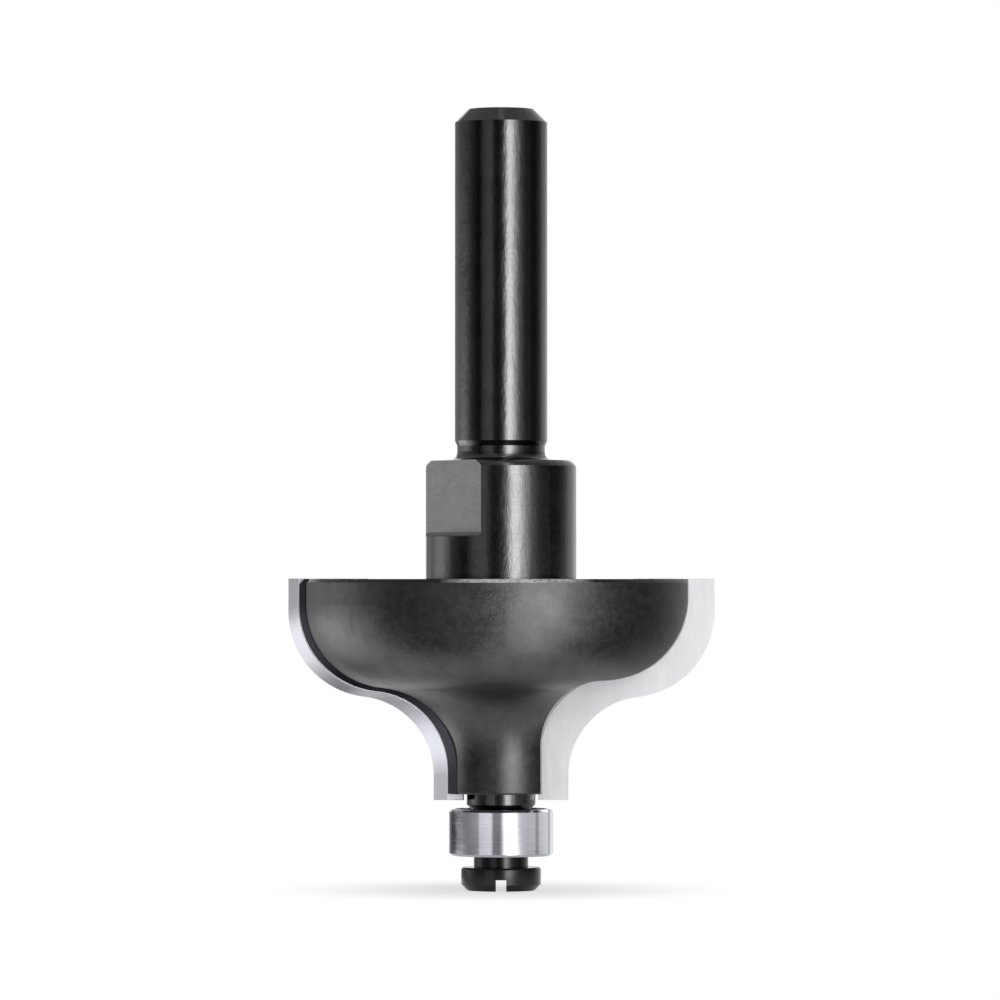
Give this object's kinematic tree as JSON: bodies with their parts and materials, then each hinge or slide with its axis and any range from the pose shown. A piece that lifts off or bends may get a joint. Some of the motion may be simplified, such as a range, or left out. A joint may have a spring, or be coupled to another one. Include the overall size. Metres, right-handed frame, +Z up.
{
  "type": "router bit",
  "caption": "Edge-forming router bit with an S-curve cutting profile, brazed carbide tips, a straight round shank, a collar with wrench flats and a pilot ball bearing held by a slotted screw.",
  "frame": {"origin": "centre of the pilot screw head's lower face, the lowest point of the upright cutter", "axes": "+Z up along the cutter's axis towards the shank end; the two cutting tips lie along +X and -X, their cutting faces parallel to the XZ plane"},
  "size_m": [0.0368, 0.0338, 0.0673],
  "materials": {
    "body_steel": "black finished tool steel, polished shank and collar, fine blasted head",
    "carbide": "finely ground sintered carbide",
    "braze": "silver braze, satin",
    "bearing_steel": "ground and polished bearing steel",
    "ball_steel": "mirror polished",
    "cage": "moulded nylon",
    "shield_steel": "rolled sheet, satin",
    "spring_steel": "drawn spring wire",
    "black_steel": "blackened turned steel, oiled"
  },
  "bodies": {
    "cutter": {"cutter_body": "body_steel", "carbide_tip_1": "carbide", "carbide_tip_2": "carbide", "braze_layer_1": "braze", "braze_layer_2": "braze", "bearing_inner_race": "bearing_steel", "spacer_ring": "black_steel", "pilot_screw": "black_steel"},
    "pilot_ring": {"bearing_outer_race": "bearing_steel", "shield_lower": "shield_steel", "shield_upper": "shield_steel", "snap_ring_lower": "spring_steel", "snap_ring_upper": "spring_steel"},
    "ball_train": {"bearing_cage": "cage", "bearing_ball_1": "ball_steel", "bearing_ball_2": "ball_steel", "bearing_ball_3": "ball_steel", "bearing_ball_4": "ball_steel", "bearing_ball_5": "ball_steel", "bearing_ball_6": "ball_steel", "bearing_ball_7": "ball_steel"}
  },
  "joints": [
    {"name": "pilot_spin", "type": "hinge", "parent": "cutter", "child": "pilot_ring", "pos_m": [0, 0, 0.005], "axis": [0, 0, 1], "continuous": true},
    {"name": "ball_train_spin", "type": "hinge", "parent": "cutter", "child": "ball_train", "pos_m": [0, 0, 0.005], "axis": [0, 0, 1], "continuous": true}
  ],
  "couplings": [
    {"joint": "ball_train_spin", "follows": "pilot_spin", "ratio": 0.626}
  ]
}
